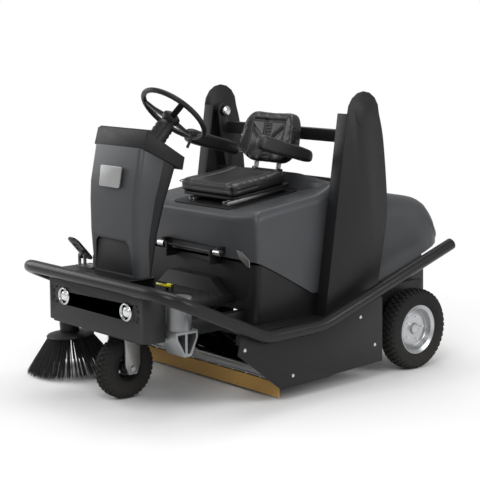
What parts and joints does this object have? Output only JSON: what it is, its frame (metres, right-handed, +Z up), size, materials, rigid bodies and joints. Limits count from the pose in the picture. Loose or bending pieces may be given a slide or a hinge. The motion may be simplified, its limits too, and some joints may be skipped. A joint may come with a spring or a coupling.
{
  "type": "ride-on sweeper",
  "caption": "Ride-on industrial sweeper with a steered front wheel, roller broom, side brush, padded seat on a tilting hood and a high-dump rear hopper.",
  "frame": {"origin": "middle of the footprint's bounding box, on the floor", "axes": "+Z up, +X towards the machine's left side, -Y forwards, the way it drives"},
  "size_m": [1.4188, 1.9494, 1.4598],
  "materials": {
    "grey_shell": "satin",
    "black_paint": "satin",
    "black_plastic": "matte",
    "rubber": "matte",
    "bright_steel": "polished",
    "galvanised": "brushed",
    "cast_metal": "cast",
    "seat_vinyl": "satin",
    "bristle": "matte",
    "tan_rubber": "matte",
    "signal_yellow": "gloss"
  },
  "bodies": {
    "chassis": {"console_front_shell": "grey_shell", "chassis_frame": "black_paint", "bumper_tube": "black_paint", "front_panel": "black_paint", "foot_deck": "black_paint", "body_wall": "black_paint", "skirt_left": "black_paint", "skirt_right": "black_paint", "tower_left": "black_paint", "tower_right": "black_paint", "rear_cover": "black_paint", "hydraulic_tank": "black_paint", "console_back_shell": "black_plastic", "console_access_panel": "black_plastic", "dash_cap": "black_plastic", "steering_column": "black_plastic", "fuel_tank": "black_plastic", "battery": "black_plastic", "headlight_left": "bright_steel", "headlight_right": "bright_steel", "hood_hinge_rod": "bright_steel", "pedal_bracket": "galvanised", "muffler": "galvanised", "hydraulic_pump": "cast_metal", "engine_block": "cast_metal"},
    "fork": {"steering_fork": "galvanised", "wheel_motor": "cast_metal"},
    "front_wheel": {"front_tyre": "rubber", "front_rim": "black_paint"},
    "steering_wheel": {"steering_wheel": "black_plastic"},
    "rear_wheel_left": {"rear_tyre_left": "rubber", "rear_rim_left": "bright_steel"},
    "rear_wheel_right": {"rear_tyre_right": "rubber", "rear_rim_right": "bright_steel"},
    "broom_carrier": {"broom_arm_frame": "black_paint"},
    "broom_roller": {"broom_core": "galvanised", "broom_bristles": "bristle"},
    "side_brush_carrier": {"side_brush_arm": "black_paint"},
    "side_brush": {"side_brush_disc": "black_plastic", "side_brush_bristles": "bristle"},
    "flap": {"flap_holder": "galvanised", "flap_strip": "tan_rubber"},
    "flap_pedal": {"flap_pedal": "signal_yellow"},
    "drive_pedal": {"drive_pedal": "black_plastic"},
    "brake_pedal": {"brake_pedal": "black_plastic"},
    "hood": {"engine_hood": "grey_shell", "hood_hinge_leaves": "bright_steel", "seat_rails": "galvanised"},
    "seat": {"seat_base": "black_paint", "seat_cushion": "seat_vinyl"},
    "backrest": {"seat_backrest": "seat_vinyl"},
    "armrest_left": {"armrest_left": "seat_vinyl"},
    "armrest_right": {"armrest_right": "seat_vinyl"},
    "key": {"ignition_key": "black_plastic"},
    "knob": {"program_knob": "black_plastic"},
    "horn": {"horn_button": "signal_yellow"},
    "hopper": {"lift_frame": "black_paint", "hopper_shell": "grey_shell", "hopper_bin": "black_paint", "dust_filter": "tan_rubber"}
  },
  "joints": [
    {"name": "steer", "type": "hinge", "parent": "chassis", "child": "fork", "pos_m": [0.09035, -0.7553, 0.3], "axis": [0, 0, 1], "range_deg": [-75, 75]},
    {"name": "front_wheel_roll", "type": "hinge", "parent": "fork", "child": "front_wheel", "pos_m": [0.09035, -0.7553, 0.151], "axis": [1, 0, 0], "continuous": true},
    {"name": "steering_wheel_turn", "type": "hinge", "parent": "chassis", "child": "steering_wheel", "pos_m": [0.09035, -0.4433, 1.331], "axis": [0, 0.6871, 0.7266], "range_deg": [-376, 376]},
    {"name": "rear_left_roll", "type": "hinge", "parent": "chassis", "child": "rear_wheel_left", "pos_m": [0.61035, 0.7007, 0.2075], "axis": [1, 0, 0], "continuous": true},
    {"name": "rear_right_roll", "type": "hinge", "parent": "chassis", "child": "rear_wheel_right", "pos_m": [-0.42965, 0.7007, 0.2075], "axis": [1, 0, 0], "continuous": true},
    {"name": "broom_lift", "type": "hinge", "parent": "chassis", "child": "broom_carrier", "pos_m": [0.09035, -0.1853, 0.318], "axis": [1, 0, 0], "range_deg": [0, 8]},
    {"name": "broom_spin", "type": "hinge", "parent": "broom_carrier", "child": "broom_roller", "pos_m": [0.09035, 0.0447, 0.147], "axis": [1, 0, 0], "continuous": true},
    {"name": "side_brush_lift", "type": "hinge", "parent": "chassis", "child": "side_brush_carrier", "pos_m": [-0.23465, -0.6653, 0.32], "axis": [0, 1, 0], "range_deg": [0, 12]},
    {"name": "side_brush_spin", "type": "hinge", "parent": "side_brush_carrier", "child": "side_brush", "pos_m": [-0.46965, -0.6653, 0.01774], "axis": [-0.0493, -0.0493, 0.9976], "continuous": true},
    {"name": "flap_lift", "type": "hinge", "parent": "chassis", "child": "flap", "pos_m": [0.09035, -0.2353, 0.128], "axis": [-1, 0, 0], "range_deg": [0, 35]},
    {"name": "flap_pedal_press", "type": "hinge", "parent": "chassis", "child": "flap_pedal", "pos_m": [0.10035, -0.4853, 0.506], "axis": [1, 0, 0], "range_deg": [0, 20]},
    {"name": "drive_pedal_rock", "type": "hinge", "parent": "chassis", "child": "drive_pedal", "pos_m": [-0.19465, -0.7873, 0.652], "axis": [1, 0, 0], "range_deg": [-12, 12], "stiffness_Nm_per_rad": 20},
    {"name": "brake_pedal_press", "type": "hinge", "parent": "chassis", "child": "brake_pedal", "pos_m": [-0.11965, -0.7603, 0.652], "axis": [1, 0, 0], "range_deg": [-15, 0], "stiffness_Nm_per_rad": 20},
    {"name": "hood_tilt", "type": "hinge", "parent": "chassis", "child": "hood", "pos_m": [0.09035, -0.3533, 0.677], "axis": [1, 0, 0], "range_deg": [0, 35]},
    {"name": "seat_slide", "type": "slide", "parent": "hood", "child": "seat", "axis": [0, 0.9925, 0.1219], "range_m": [-0.1, 0]},
    {"name": "backrest_recline", "type": "hinge", "parent": "seat", "child": "backrest", "pos_m": [0.09035, 0.15727, 1.02297], "axis": [1, 0, 0], "range_deg": [-15, 10]},
    {"name": "armrest_left_fold", "type": "hinge", "parent": "backrest", "child": "armrest_left", "pos_m": [0.33835, 0.18384, 1.1028], "axis": [1, 0, 0], "range_deg": [-60, 20]},
    {"name": "armrest_right_fold", "type": "hinge", "parent": "backrest", "child": "armrest_right", "pos_m": [-0.15765, 0.18384, 1.1028], "axis": [1, 0, 0], "range_deg": [-60, 20]},
    {"name": "key_turn", "type": "hinge", "parent": "chassis", "child": "key", "pos_m": [-0.04465, -0.6222, 1.1993], "axis": [0, 0.5221, 0.8529], "range_deg": [0, 90]},
    {"name": "program_knob_turn", "type": "hinge", "parent": "chassis", "child": "knob", "pos_m": [0.21535, -0.618, 1.1967], "axis": [0, 0.5221, 0.8529], "range_deg": [-150, 150]},
    {"name": "horn_press", "type": "slide", "parent": "chassis", "child": "horn", "axis": [0, 0.5221, 0.8529], "range_m": [-0.003, 0], "stiffness_N_per_m": 600, "springref_m": 0.001},
    {"name": "hopper_lift", "type": "hinge", "parent": "chassis", "child": "hopper", "pos_m": [0.09035, 0.2847, 1.296], "axis": [1, 0, 0], "range_deg": [0, 90]}
  ],
  "couplings": [
    {"joint": "steering_wheel_turn", "follows": "steer", "ratio": 5},
    {"joint": "flap_pedal_press", "follows": "flap_lift", "ratio": 0.5714}
  ]
}
